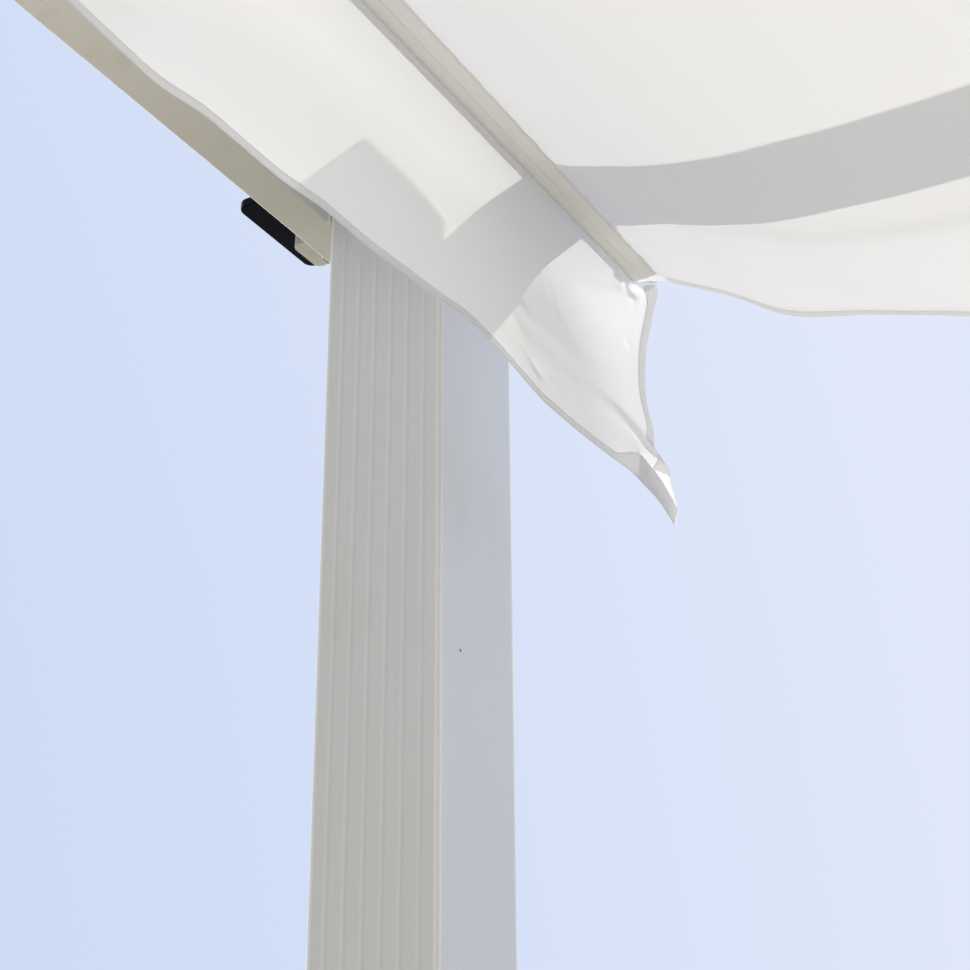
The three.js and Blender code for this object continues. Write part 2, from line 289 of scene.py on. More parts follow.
def drawn_metal(name, shade, along):
    """Bare metal with fine lines along one axis; `along` stretches the noise that way."""
    shader = Shader(bpy.data.materials.new(name))
    point = shader.place()
    lines = shader.noise(shader.stretched(point, along), 420.0, 3.0)
    cloud = shader.noise(point, 26.0, 4.0, 0.6)
    inputs = {
        "Base Color": shader.blend(cloud, colour(*shade), colour(*darker(shade, 0.82))),
        "Metallic": 1.0,
        "Roughness": lines * 0.16 + cloud * 0.14 + 0.19,
        "Normal": shader.bump(lines, 0.35, 0.0001),
    }
    return shader.surface(shader.principled(inputs))


def canopy_weave(name, shade, through, share, lift):
    """Woven cloth that light passes through: threads both ways, slubs, faint soiling, stitches.

    Thick cloth sends the light on more downwards than evenly. So the side that passes light is
    turned up where the cloth hangs steeply, by a bump whose height is `lift` times the height.
    The map named stitches holds the distance from a line of stitches and the place along it.
    """
    shader = Shader(bpy.data.materials.new(name))
    place = shader.place()
    point = shader.own_map("cloth")
    warp = shader.noise(shader.stretched(point, (1500.0, 60.0, 1.0)), 1.0, 1.0)
    weft = shader.noise(shader.stretched(point, (60.0, 1500.0, 1.0)), 1.0, 1.0)
    slub = shader.noise(shader.stretched(point, (420.0, 9.0, 1.0)), 1.0, 2.0)
    cloud = shader.noise(place, 3.4, 3.0).steps(0.3, 0.7)
    crease = shader.noise(shader.stretched(point, (26.0, 9.0, 1.0)), 1.0, 4.0, 0.6)
    off_line, on_line = shader.parts(shader.own_map("stitches"))[:2]
    beat = on_line.math("PINGPONG", 0.0016)
    thread = off_line.math("ABSOLUTE").steps(0.0005, 0.0002) * beat.steps(0.0002, 0.0006)
    furrow = off_line.math("ABSOLUTE").steps(0.0016, 0.0003)
    tone = shader.blend(cloud, colour(*shade), colour(*darker(shade, 0.975)))
    tone = shader.blend(slub.steps(0.62, 0.8) * 0.12, tone, colour(214, 210, 200))
    fine = shader.bump(warp * 0.5 + weft * 0.5, 0.25, 0.0002)
    sewn = shader.bump(thread * 1.2 - furrow * 0.6, 0.8, 0.0004, fine)
    normal = shader.bump(crease, 0.3, 0.0016, sewn)
    inputs = {"Base Color": tone, "Roughness": 0.86, "Sheen Weight": 0.15, "Normal": normal}
    front = shader.principled(inputs)
    turned_up = shader.bump(shader.parts(place)[2] * lift, 1.0, 1.0, normal)
    inputs = {"Color": colour(*through), "Normal": turned_up}
    back = shader.node("ShaderNodeBsdfTranslucent", None, inputs)
    mixed = shader.node("ShaderNodeMixShader", None, {0: share, 1: front, 2: back["BSDF"]})
    return shader.surface(mixed[0])


def solar_cells(name):
    """Dark cells under clear plastic, with fine light grid lines."""
    shader = Shader(bpy.data.materials.new(name))
    x, y = shader.parts(shader.place())[:2]
    fingers = y.math("PINGPONG", 0.0015).steps(0.0003, 0.0001)
    busbars = x.math("PINGPONG", 0.008).steps(0.0006, 0.0003)
    lines = fingers.math("MAXIMUM", busbars)
    inputs = {
        "Base Color": shader.blend(lines * 0.35, colour(14, 18, 38), colour(132, 138, 150)),
        "Roughness": 0.22,
        "Coat Weight": 1.0,
        "Coat Roughness": 0.05,
    }
    return shader.surface(shader.principled(inputs))


def plain_floor(name):
    """Pale ground, a little uneven in tone."""
    shader = Shader(bpy.data.materials.new(name))
    cloud = shader.noise(shader.place(), 0.8, 3.0)
    tone = shader.blend(cloud, colour(176, 171, 158), colour(170, 165, 153))
    return shader.surface(shader.principled({"Base Color": tone, "Roughness": 0.85}))


def studio_world(name):
    """Soft light from overhead and from three sides, brightest from -X, over a pale backdrop."""
    world = bpy.data.worlds.new(name)
    shader = Shader(world)
    way = shader.node("ShaderNodeTexCoord")["Generated"]
    x, y, z = shader.parts(way)
    overhead = z.steps(0.2, 0.9)
    shares = {"left": x * -1.0, "right": x, "back": y}
    shares = {side: share.steps(0.0, 0.9) * (1.0 - overhead) for side, share in shares.items()}
    light = (0.0, 0.0, 0.0)
    for side, share in {"overhead": overhead, **shares}.items():
        settings = {"operation": "MULTIPLY_ADD"}
        inputs = {0: share, 1: SKY[side], 2: light}
        light = shader.node("ShaderNodeVectorMath", settings, inputs)["Vector"]
    around = shader.node("ShaderNodeBackground", None, {"Color": light})["Background"]
    pale = shader.blend(x.steps(-0.8, -0.1), colour(204, 218, 246), colour(227, 234, 250))
    behind = shader.node("ShaderNodeBackground", None, {"Color": pale, "Strength": 1.0})
    seen = shader.node("ShaderNodeLightPath")["Is Camera Ray"]
    mixed = {0: seen, 1: around, 2: behind["Background"]}
    mixed = shader.node("ShaderNodeMixShader", None, mixed)[0]
    shader.node("ShaderNodeOutputWorld", None, {"Surface": mixed})
    return world


# Mesh helpers

CORNER_STEPS, EDGE_STEPS = 5, 3  # steps round a rounded corner and over a bar's rounded end


def added(name, data):
    """A new object in the scene, with the given mesh, camera or light."""
    piece = bpy.data.objects.new(name, data)
    bpy.context.scene.collection.objects.link(piece)
    return piece


class Shape:
    """Points and faces of one piece, gathered grid by grid."""

    def __init__(self):
        self.points = []
        self.quads = []
        self.layers = []
        self.rings = []
        self.maps = {}
        self.count = 0

    def grid(self, points, round_columns=False, maps=None, keep=None, layer=0):
        """Adds a grid of points (rows, columns, 3).

        `keep` says which of its quads stay and `layer` which of the piece's materials it has.
        """
        rows, columns = points.shape[:2]
        i = np.arange(rows - 1)
        j = np.arange(columns if round_columns else columns - 1)
        i, j = np.meshgrid(i, j, indexing="ij")
        beside = (j + 1) % columns
        corners = [
            i * columns + j,
            (i + 1) * columns + j,
            (i + 1) * columns + beside,
            i * columns + beside,
        ]
        quads = np.stack(corners, axis=-1)
        if keep is not None:
            quads = quads[keep]
        self.quads.append(quads.reshape(-1, 4) + self.count)
        self.layers.append(np.full(self.quads[-1].shape[0], layer))
        self.points.append(points.reshape(-1, 3))
        for name, flat in (maps or {}).items():
            self.maps.setdefault(name, []).append(flat.reshape(-1, 2))
        start = self.count
        self.count += rows * columns
        return start

    def tube(self, points):
        """Adds a closed body: a grid that is round across its rows, with both ends closed."""
        first = self.grid(points, round_columns=True)
        rows, columns = points.shape[:2]
        last = first + (rows - 1) * columns
        self.rings.append(list(range(first, first + columns)))
        self.rings.append(list(range(last + columns - 1, last - 1, -1)))

    def finish(self, name, *materials, sharp=35.0, replaces=(), slot=None):
        """Makes the mesh, rides it on the frame and gives it its materials."""
        points = np.concatenate(self.points)
        quads = np.concatenate(self.quads)
        used = np.zeros(len(points), bool)
        used[quads.ravel()] = True
        for ring in self.rings:
            used[ring] = True
        number = np.cumsum(used) - 1
        corners = [number[quads].ravel()] + [number[ring] for ring in self.rings]
        sizes = np.concatenate([np.full(len(quads), 4), [len(r) for r in self.rings]]).astype(int)
        loops = np.concatenate(corners).astype(np.int32)
        mesh = bpy.data.meshes.new(name)
        mesh.vertices.add(int(used.sum()))
        mesh.vertices.foreach_set("co", points[used].astype(np.float32).ravel())
        mesh.loops.add(len(loops))
        mesh.loops.foreach_set("vertex_index", loops)
        mesh.polygons.add(len(sizes))
        starts = np.concatenate([[0], np.cumsum(sizes)[:-1]]).astype(np.int32)
        mesh.polygons.foreach_set("loop_start", starts)
        layers = np.concatenate([*self.layers, np.zeros(len(self.rings), int)])
        mesh.polygons.foreach_set("material_index", layers.astype(np.int32))
        mesh.update(calc_edges=True)
        mesh.validate()
        for label, flats in self.maps.items():
            layer = mesh.uv_layers.new(name=label)
            flat = np.concatenate(flats)[used][loops]
            layer.data.foreach_set("uv", flat.astype(np.float32).ravel())
        mesh.polygons.foreach_set("use_smooth", np.ones(len(mesh.polygons), bool))
        if sharp:
            mesh.set_sharp_from_angle(angle=radians(sharp))
        piece = added(name, mesh)
        for material in materials:
            piece.data.materials.append(material)
        if sharp:
            weighted = piece.modifiers.new("flat_faces", "WEIGHTED_NORMAL")
            weighted.keep_sharp = True
        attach(piece, "root")
        if replaces:
            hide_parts(*replaces)
        return piece

    def finish_closed(self, name, material, **facts):
        """The same for closed bodies: their faces are turned outwards."""
        piece = self.finish(name, material, **facts)
        mesh = bmesh.new()
        mesh.from_mesh(piece.data)
        bmesh.ops.recalc_face_normals(mesh, faces=mesh.faces)
        mesh.to_mesh(piece.data)
        mesh.free()
        return piece


def smooth(value, low, high):
    """0 below low, 1 above high and 3t^2 - 2t^3 between."""
    t = np.clip((value - low) / (high - low), 0, 1)
    return t * t * (3 - 2 * t)


def between(first, second, share):
    """The value that lies at a share of the way from the first to the second."""
    return first + (second - first) * share


def arc(centre, radius, start, end, steps):
    """Points on a circle's arc, in degrees, with the last one included."""
    angle = np.radians(np.linspace(start, end, steps + 1))
    return np.stack([centre[0] + radius * np.cos(angle), centre[1] + radius * np.sin(angle)], -1)


def rounded_box(width, height, radius):
    """Outline of a rectangle about the origin whose corners are quarter circles."""
    x, y = width / 2 - radius, height / 2 - radius
    corners = [((x, y), 0), ((-x, y), 90), ((-x, -y), 180), ((x, -y), 270)]
    return np.concatenate([arc(c, radius, turn, turn + 90, CORNER_STEPS) for c, turn in corners])


def carried(outline, axis, stations, inset):
    """An outline in the plane across `axis`, set at each station along it.

    Point (row, column) is the outline's point, pulled towards the outline's middle by the
    station's inset, with the station's place as its third coordinate.
    """
    middle = (outline.max(0) + outline.min(0)) / 2
    reach = np.abs(outline - middle).max(0)
    scale = 1 - np.asarray(inset)[:, None] / reach[None, :]
    flat = middle + (outline - middle)[None] * scale[:, None, :]
    place = np.broadcast_to(np.asarray(stations)[:, None], flat.shape[:2])
    parts = {
        "x": (place, flat[..., 0], flat[..., 1]),
        "y": (flat[..., 0], place, flat[..., 1]),
        "z": (flat[..., 0], flat[..., 1], place),
    }
    return np.stack(parts[axis], -1)


def add_bar(shape, outline, axis, start, end, edge, at=(0.0, 0.0, 0.0)):
    """A closed bar: the outline carried from start to end, its two ends rounded by `edge`."""
    turn = np.linspace(0, np.pi / 2, EDGE_STEPS + 1)
    ahead = start + edge * (1 - np.sin(turn))
    inset = edge * (1 - np.cos(turn))
    stations = np.concatenate([ahead[::-1], end - (ahead - start)])
    insets = np.concatenate([inset[::-1], inset])
    shape.tube(carried(outline, axis, stations, insets) + np.array(at))


def add_block(shape, low, high, edge, axis="z", corner=None):
    """A box from one corner to the other with rounded edges, carried along `axis`."""
    low, high = np.array(low), np.array(high)
    along = "xyz".index(axis)
    flat = [i for i in range(3) if i != along]
    width, height = (high - low)[flat]
    at = (low + high) / 2
    at[along] = 0
    outline = rounded_box(width, height, corner or edge)
    add_bar(shape, outline, axis, low[along], high[along], edge, at)


def add_turned(shape, profile, way, at, sides=28):
    """A closed body of revolution: ring k has radius r_k and stands a_k along `way` from `at`."""
    way = np.array(way, float)
    side = np.cross(way, (0, 0, 1) if abs(way[2]) < 0.9 else (1, 0, 0))
    side /= np.linalg.norm(side)
    turn = np.linspace(0, 2 * np.pi, sides, endpoint=False)[:, None]
    ring = np.cos(turn) * side + np.sin(turn) * np.cross(way, side)
    ahead, radius = np.array(profile).T
    shape.tube(np.array(at) + ahead[:, None, None] * way + radius[:, None, None] * ring)


def in_mm(profile):
    """A profile written in millimetres, in metres."""
    return np.array(profile) * MM


# Surfaces

coat = powder_coat("white_powder_coat", (228, 232, 238))
# a paler copy of the coat, with painted shade towards the side beams' ends by the posts
coat_side_beam_shaded_ends = powder_coat("white_powder_coat_side_beam", (250, 249, 246), end_shade=0.6)
coat_photo_post = powder_coat(
    "white_powder_coat_chipped", (228, 232, 238), (-1.8667, 1.3936, 1.9355)
)
plastic = moulded_plastic("white_moulded_plastic", (214, 216, 210))
dark_plastic = moulded_plastic("dark_moulded_plastic", (2, 5, 26), rough=0.3, shine=0.06)
lens_plastic = moulded_plastic("frosted_lens", (214, 216, 210), rough=0.3)
rod_metal = drawn_metal("rod_metal", (196, 198, 200), (1.0, 0.02, 1.0))
zinc = drawn_metal("zinc_plated_steel", (176, 178, 180), (1.0, 1.0, 1.0))
# Painted light in copies of one weave: the drop copy passes more light than the bay copy, and the
# pocket copy is paler and reflects most light, so the strips in shade under the rods look lighter.
bay_cloth = canopy_weave("bay_weave", (243, 243, 243), (242, 242, 243), 0.72, 0.8)
drop_cloth = canopy_weave("drop_weave", (244, 244, 244), (242, 242, 243), 0.78, 1.0)
pocket_cloth = canopy_weave("pocket_weave", (248, 246, 243), (242, 240, 236), 0.12, 0.0)
hem_cloth = canopy_weave("hem_weave", (243, 243, 243), (242, 242, 243), 0.72, 0.85)
cells = solar_cells("solar_cells")

# Posts

POST_CORNER = 2.2 * MM
RIBS = 6
RIB_WIDTH, RIB_HEIGHT = 6 * MM, 0.26 * MM


def post_outline(half):
    """A square of side 2 * half with round corners; six low ribs stand on its front and back.

    A ribbed face lies `height` inside the square. At a rib it rises by height * cos^2(pi * u /
    width), where u is the distance from the rib's middle, and it rises to both corners too.
    """
    pitch = 2 * half / (RIBS + 1)
    across = np.linspace(-RIB_WIDTH / 2, RIB_WIDTH / 2, 9)
    middles = -half + pitch * np.arange(1, RIBS + 1)
    inner = half - POST_CORNER
    foot = inner - RIB_WIDTH / 2
    along = np.concatenate([[-foot], (middles[:, None] + across[None]).ravel(), [foot]])
    rise = np.tile(np.cos(np.pi * across / RIB_WIDTH) ** 2, RIBS)
    depth = RIB_HEIGHT * (1 - np.concatenate([[0], rise, [0]]))
    sides = []
    for turn in range(4):
        corner = arc((inner, inner), POST_CORNER, 0, 90, CORNER_STEPS)
        if turn % 2 == 0:
            ribbed = np.stack([-along, half - depth], -1)
            corner = np.concatenate([corner, ribbed])
        angle = turn * np.pi / 2
        spin = np.array([[np.cos(angle), np.sin(angle)], [-np.sin(angle), np.cos(angle)]])
        sides.append(corner @ spin)
    return np.concatenate(sides)


for corner in CORNERS:
    low, high = node_box(f"post_{corner}")
    middle = (low + high) / 2
    half = (high[0] - low[0]) / 2
    shape = Shape()
    outline = post_outline(half)
    add_bar(shape, outline, "z", low[2], high[2], 0.3 * MM, (middle[0], middle[1], 0))
    shape.finish_closed(
        f"ribbed_post_{corner}",
        coat_photo_post if corner == "back_left" else coat,
        replaces=[f"post_{corner}"],
        slot="white_metal",
    )

WELD_RADIUS = 2.4 * MM


def add_bolt(shape, at, way, size, stud):
    """A hexagon bolt or nut over a washer; `size` is its thread's radius, `stud` what stands out."""
    washer = [(0, 1.9), (0.3, 1.9), (0.34, 1.84)]
    head = [(0.34, 1.66), (1.5, 1.66), (1.68, 1.44)]
    add_turned(shape, np.array(washer) * size, way, at)
    add_turned(shape, np.array(head) * size, way, at, sides=6)
    tip = [(1.6, 0.98), (1.68 + stud, 0.98), (1.8 + stud, 0.84)]
    add_turned(shape, np.array(tip) * size, way, at)


def add_weld(shape, middle, half, level):
    """A bead round a square foot: a circle of radius r (1 + 0.12 ripple) carried along its outline."""
    path = np.concatenate([rounded_box(2 * half, 2 * half, POST_CORNER), [[half, half - POST_CORNER]]])
    run = np.concatenate([[0], np.cumsum(np.linalg.norm(np.diff(path, axis=0), axis=-1))])
    along = np.linspace(0, run[-1], 481)
    place = np.stack([np.interp(along, run, path[:, k]) for k in range(2)], -1)
    outward = place / np.abs(place).max(-1, keepdims=True) * 0.5
    radius = WELD_RADIUS * (1 + 0.12 * np.sin(2 * np.pi * along / (4.2 * MM)))[:, None]
    turn = np.linspace(0, 2 * np.pi, 13)[:-1][None]
    flat = place[:, None] + outward[:, None] * (radius * np.cos(turn))[..., None]
    points = np.concatenate([flat + middle[:2], (level + radius * np.sin(turn))[..., None]], -1)
    shape.grid(points, round_columns=True)


# Feet and caps

FOOT_EDGE, FOOT_CORNER, ANCHOR = 0.8 * MM, 12 * MM, 62 * MM
CAP_EDGE, CAP_CORNER = 1.8 * MM, 3 * MM
feet, anchors, caps = Shape(), Shape(), Shape()
for corner in CORNERS:
    low, high = node_box(f"foot_plate_{corner}")
    middle = (low + high) / 2
    add_block(feet, low, high, FOOT_EDGE, corner=FOOT_CORNER)
    post_low, post_high = node_box(f"post_{corner}")
    add_weld(feet, middle, (post_high[0] - post_low[0]) / 2, high[2] + 0.6 * MM)
    for x in (-ANCHOR, ANCHOR):
        for y in (-ANCHOR, ANCHOR):
            add_bolt(anchors, (middle[0] + x, middle[1] + y, high[2]), (0, 0, 1), 4.6 * MM, 0.9)
    add_block(caps, *node_box(f"post_cap_{corner}"), CAP_EDGE, corner=CAP_CORNER)
feet.finish_closed(
    "feet", coat, replaces=[f"foot_plate_{corner}" for corner in CORNERS], slot="white_metal"
)
anchors.finish_closed("anchor_bolts", zinc)
caps.finish_closed(
    "caps", plastic, replaces=[f"post_cap_{corner}" for corner in CORNERS], slot="white_plastic"
)

# Beams, their end plugs, drain plugs and bolts

BEAM_CORNER = 2.6 * MM
PLUG = 2.2 * MM
BOLT_BELOW_TOP, BOLT_ABOVE_BASE = 18 * MM, 12 * MM
BOLT_SHARES = (0.22, 0.78)  # across the post's face
BOLT_RADIUS = 4 * MM
plugs, bolts = Shape(), Shape()
for word, side in SIDES.items():
    low, high = node_box(f"side_beam_{word}")
    middle, size = (low + high) / 2, high - low
    outline = rounded_box(size[0], size[2], BEAM_CORNER)
    shape = Shape()
    at = (middle[0], 0, middle[2])
    add_bar(shape, outline, "y", low[1] + PLUG, high[1] - PLUG, 0.4 * MM, at)
    shape.finish_closed(
        f"beam_{word}", coat_side_beam_shaded_ends, replaces=[f"side_beam_{word}"], slot="white_metal"
    )
    for end in (low[1], high[1] - PLUG):
        add_bar(plugs, outline, "y", end, end + PLUG, 0.8 * MM, at)
    drain = in_mm([(-0.5, 6.2), (0.7, 6.2), (1.2, 5.6), (1.2, 4.5), (0.3, 4.1)])
    add_turned(plugs, drain, (0, 0, -1), (middle[0], 0, low[2]))
    face = high[0] if side > 0 else low[0]
    for end_word in ENDS:
        post_low, post_high = node_box(f"post_{end_word}_{word}")
        for z in (low[2] + BOLT_ABOVE_BASE, high[2] - BOLT_BELOW_TOP):
            at = (face, (post_low[1] + post_high[1]) / 2, z)
            add_bolt(bolts, at, (side, 0, 0), BOLT_RADIUS, 0.0)
for word, end in ENDS.items():
    low, high = node_box(f"end_beam_{word}")
    middle, size = (low + high) / 2, high - low
    outline = rounded_box(size[1], size[2], BEAM_CORNER)
    shape = Shape()
    add_bar(shape, outline, "x", low[0], high[0], 0.3 * MM, (0, middle[1], middle[2]))
    shape.finish_closed(
        f"cross_beam_{word}", coat, replaces=[f"end_beam_{word}"], slot="white_metal"
    )
    face = high[1] if end > 0 else low[1]
    for side_word in SIDES:
        post_low, post_high = node_box(f"post_{word}_{side_word}")
        for share in BOLT_SHARES:
            at = (between(post_low[0], post_high[0], share), face, middle[2])
            add_bolt(bolts, at, (0, end, 0), BOLT_RADIUS, 0.0)
plugs.finish_closed("beam_plugs", plastic)
bolts.finish_closed("beam_bolts", zinc)

# Lights

LIGHT_EDGE = 1.3 * MM
LIGHT_CORNER = {"housing": 6 * MM, "panel": 8 * MM}


def tongue(reach, length, corner, side):
    """Outline of a plate that stands out from x = 0, with its two far corners rounded."""
    x, y = reach - corner, length / 2
    far = np.concatenate([
        [(0, -y)], arc((x, corner - y), corner, -90, 0, 8), arc((x, y - corner), corner, 0, 90, 8),
        [(0, y)],
    ])
    return far if side > 0 else (far * (-1, 1))[::-1]


housings, panels, cell_plates, lenses = Shape(), Shape(), Shape(), Shape()
for corner, (side, end) in CORNERS.items():
    for word, shape in (("housing", housings), ("panel", panels)):
        low, high = node_box(f"light_{word}_{corner}")
        size = high - low
        outline = tongue(size[0], size[1], LIGHT_CORNER[word], side)
        at = (low[0] if side > 0 else high[0], (low[1] + high[1]) / 2, 0)
        add_bar(shape, outline, "z", low[2], high[2], LIGHT_EDGE, at)
    inset = np.array([5 * MM, 5 * MM, 0])
    top = np.array([0, 0, 0.25 * MM])
    cell_low, cell_high = low + inset, high - inset
    cell_low[2] = high[2] - 0.5 * MM
    add_block(cell_plates, cell_low, cell_high + top, 0.1 * MM, corner=3 * MM)
    low, high = node_box(f"light_housing_{corner}")
    middle = (low + high) / 2
    face = high[0] if side > 0 else low[0]
    lens_low = (face - 1.2 * MM, middle[1] - 10 * MM, middle[2] - 3.5 * MM)
    lens_high = (face + 1.2 * MM, middle[1] + 10 * MM, middle[2] + 3.5 * MM)
    add_block(lenses, lens_low, lens_high, 0.9 * MM, axis="x", corner=2.5 * MM)
housings.finish_closed(
    "housings", plastic, replaces=[f"light_housing_{c}" for c in CORNERS], slot="white_plastic"
)
panels.finish_closed(
    "panels", dark_plastic, replaces=[f"light_panel_{c}" for c in CORNERS], slot="black_plastic"
)
cell_plates.finish_closed("cell_plates", cells)
lenses.finish_closed("light_windows", lens_plastic)

# Canopy: places shared by its pieces

RODS = 6
rod_boxes = [node_box(f"canopy_rod_{i + 1}") for i in range(RODS)]
ROD_X = [float((low[0] + high[0]) / 2) for low, high in rod_boxes]
ROD_Z = float((rod_boxes[0][0][2] + rod_boxes[0][1][2]) / 2)
ROD_RADIUS = float((rod_boxes[0][1][2] - rod_boxes[0][0][2]) / 2)
ROD_END = float(rod_boxes[0][1][1])
CLOTH_END = float(node_box("canopy_cloth")[1][1])
HANGER_Y = [float(place[1]) for place in node_box("rod_hanger_back_1")]
SLOT_ROOM = 1.2 * MM

WRAP = 10.2 * MM  # radius of the cloth's round over a rod
WRAP_LOSS = 3.7 * MM  # how much smaller it gets past the rod's end
END_SHIFT = 4 * MM  # how far an outermost wrap moves towards its bay there
SEAM_BELOW = 9.4 * MM
SEAM_OUT = (15 * MM, 13.5 * MM)  # seam to rod across the rods: inside and at the free ends
SEAM_OUT_OUTERMOST = (18.8 * MM, 15.8 * MM)
SEAM_LIFT = 6 * MM  # past the rod's end
SEAM_WAVE = 0.35 * MM
SETTLED = 6 * MM  # the cloth settles to this far below the rods' centre line past their ends
STRIP_BELLY = 0.7 * MM

WRAP_SHARE = 0.7  # share of the cloth from a rod's top to a bay's seam that follows the round

BAY_PULL = 9 * MM  # how far a bay's free edge is drawn in halfway between two rods
DROP_SEAM_TURN = 154.4  # degrees round the rod from its top to the drop's seam
DROP_SEAM_TWIST = 63.0  # how much further round the seam runs at the free ends
DROP_TWIST_RUN = (1.486, 1.506)
DROP_DEPTH = 190 * MM
MEAN_LEAN = 10 * MM
MIDDLE_RUN = (1.2, 1.3)  # where a drop's profile goes over from its middle to the part beyond
DROP_END_RUN = (1.39, 1.495)  # and from there to its free ends

# Profiles, each a first value and the smooth steps that follow it: (from, to, change)
# A bay's depth below its seams, by distance from its free end, all in millimetres
SAG = (119, [(20, 110, -4), (112, 203, 32), (200, 300, 19)])

# A drop's distance outside its rod in millimetres, by share of its depth
MIDDLE_OUT = (4.4, [(0, 0.1, 3), (0.03, 0.28, 9.6), (0.3, 1.25, -32)])
DROP_OUT = (4.4, [(0, 0.28, 9.8), (0.28, 0.8, -15.5), (0.65, 1.1, -10)])
END_OUT = (-8, [(0, 0.35, 11), (0.38, 0.7, -3.2), (0.665, 0.785, -8.2), (0.8, 0.92, -3.8)])

# How far a drop's free ends are drawn in, by share of its depth
END_PULL = (0, [
    (0.02, 0.12, 3.8), (0.2, 0.3, 1.6), (0.3, 0.48, 3.5), (0.5, 0.63, -5.5),
    (0.64, 0.69, 4.1), (0.69, 0.78, -8.6), (0.77, 0.88, -3.4), (0.88, 1, 8.5),
])

# Lower hem of the photographed corner, by place along Y: lean towards the middle, and height
HEM_LEAN = (2.2, [
    (925, 985, -2.4), (1035, 1095, -1.2), (1105, 1170, -1.3), (1185, 1310, 15.1),
    (1325, 1440, -4.4), (1440, 1520, 3.4),
])
HEM_HEIGHT = (2059.3, [
    (930, 985, 8.5), (1035, 1092, 6.5), (1110, 1200, 6.6), (1222, 1318, -25.4),
    (1330, 1450, 8.3), (1440, 1500, -9.5), (1480, 1520, -12.5),
])

# Creases of the photographed corner's drop: two places (y, depth below the seam), height, width
CORNER_CREASES = [
    (1380, 50, 1390, 90, 0.8, 4.5),
    (1365, 60, 1370, 85, 0.8, 4.5),
    (1358, 60, 1359, 68, -1.0, 2.0),
    (1315, 110, 1285, 140, -1.4, 8.0),
    (1475, 60, 1485, 65, -1.3, 2.5),
    (1475, 5, 1480, 30, -1.6, 2.6),
    (1485, 5, 1487, 22, 1.3, 3.4),
    (1305, 160, 1320, 168, 0.9, 3.5),
]

# A hem folded back over a sheet's edge: its round end, as distance back and height above
HEM_ROUND = [(0, 0), (-0.3, 0.12), (-0.4, 0.4), (-0.3, 0.68), (0, 0.8)]
HEM_FLAT = [(0.22, 0.85), (0.5, 0.85), (0.75, 0.85), (0.88, 0.75), (1, 0.35)]  # share, height
BOTTOM_HEM, SIDE_HEM, BAY_HEM = 7 * MM, 11.5 * MM, 9 * MM
SIDE_HEM_END = 0.8  # share of the drop's depth at which the side hem stops
SEAM_STITCHES, HEM_STITCHES, STRIP_STITCHES = 1.4 * MM, 1.3 * MM, 1.6 * MM  # from seam or edge

# The lower hem opens to a sleeve at a drop's free ends
SLEEVE_RUN = (1.42, 1.462)  # it widens here along Y
SLEEVE_WIDER, SLEEVE_SLANT = 17 * MM, 10 * MM
MOUTH_RISE, MOUTH_FALL = (1.455, 1.475), (1.492, 1.506)  # it stands open between them
MOUTH_OUT = 9 * MM
MOUTH_SHARE, MOUTH_SLOPE = 0.862, 2.4  # its upper edge, as share of the depth, less per metre

# Soft waves of a bay's free edges: height, length, and where one begins along X
FLUTTER_HEIGHT, FLUTTER_LENGTH, FLUTTER_START = -4.5 * MM, 0.15, -1.685

# A drop's lower hem away from the photographed corner, in millimetres
PLAIN_LEAN, PLAIN_HEIGHT = 7, 2065


def ripples(across, along, seed, count, wave_across, wave_along):
    """Smooth noise of about unit size: seeded sine waves, added up and divided by sqrt(count).

    Their lengths lie between 0.6 and 1.7 times the two given ones, each with its own phase.
    """
    draw = np.random.default_rng(seed)
    total = np.zeros(np.broadcast(across, along).shape)
    for _ in range(count):
        turn_across = 2 * np.pi / (wave_across * draw.uniform(0.6, 1.7)) * draw.choice([-1, 1])
        turn_along = 2 * np.pi / (wave_along * draw.uniform(0.6, 1.7))
        phase = draw.uniform(0, 2 * np.pi)
        total = total + np.sin(turn_across * across + turn_along * along + phase)
    return total / np.sqrt(count)


def stepped(profile, at):
    """A profile's first value plus, for each step, change * (3t^2 - 2t^3) with t from 0 to 1."""
    first, steps = profile
    return first + sum(change * smooth(at, start, end) for start, end, change in steps)


def inward(index):
    """Which way the bay of an outermost rod lies along X, and 0 for the others."""
    return {0: 1, RODS - 1: -1}.get(index, 0)


def loose(y):
    """0 where the rod fills the cloth's round, growing to 1 at the free end."""
    return smooth(np.abs(y), ROD_END - 3 * MM, CLOTH_END)


def wrap_circle(index, y):
    """X and radius of the cloth's round over a rod: it slackens past the rod's end."""
    middle = ROD_X[index] + inward(index) * END_SHIFT * loose(y)
    return middle, WRAP - WRAP_LOSS * loose(y)


def settled(z, y):
    """Heights that shrink towards one level past the rod's end, where nothing fills the cloth."""
    return z - 0.75 * loose(y) * (z - (ROD_Z - SETTLED))


def bay_seam(index, towards, y):
    """X and Z of the seam where the bay on the `towards` side of a rod begins."""
    inside, at_end = SEAM_OUT_OUTERMOST if inward(index) else SEAM_OUT
    out = between(inside, at_end, smooth(np.abs(y), 1.1, 1.5))
    out = out + SEAM_WAVE * ripples(0 * y, y, 200 + 2 * index + (towards > 0), 6, 1.0, 0.024)
    return ROD_X[index] + towards * out, settled(ROD_Z - SEAM_BELOW + SEAM_LIFT * loose(y), y)


def drop_seam(side, y):
    """X and Z of a drop's seam: a place on the round, further round it at the free ends."""
    middle, radius = wrap_circle(0 if side < 0 else RODS - 1, y)
    turn = np.radians(DROP_SEAM_TURN + DROP_SEAM_TWIST * smooth(np.abs(y), *DROP_TWIST_RUN))
    return middle + side * radius * np.sin(turn), settled(ROD_Z + radius * np.cos(turn), y)


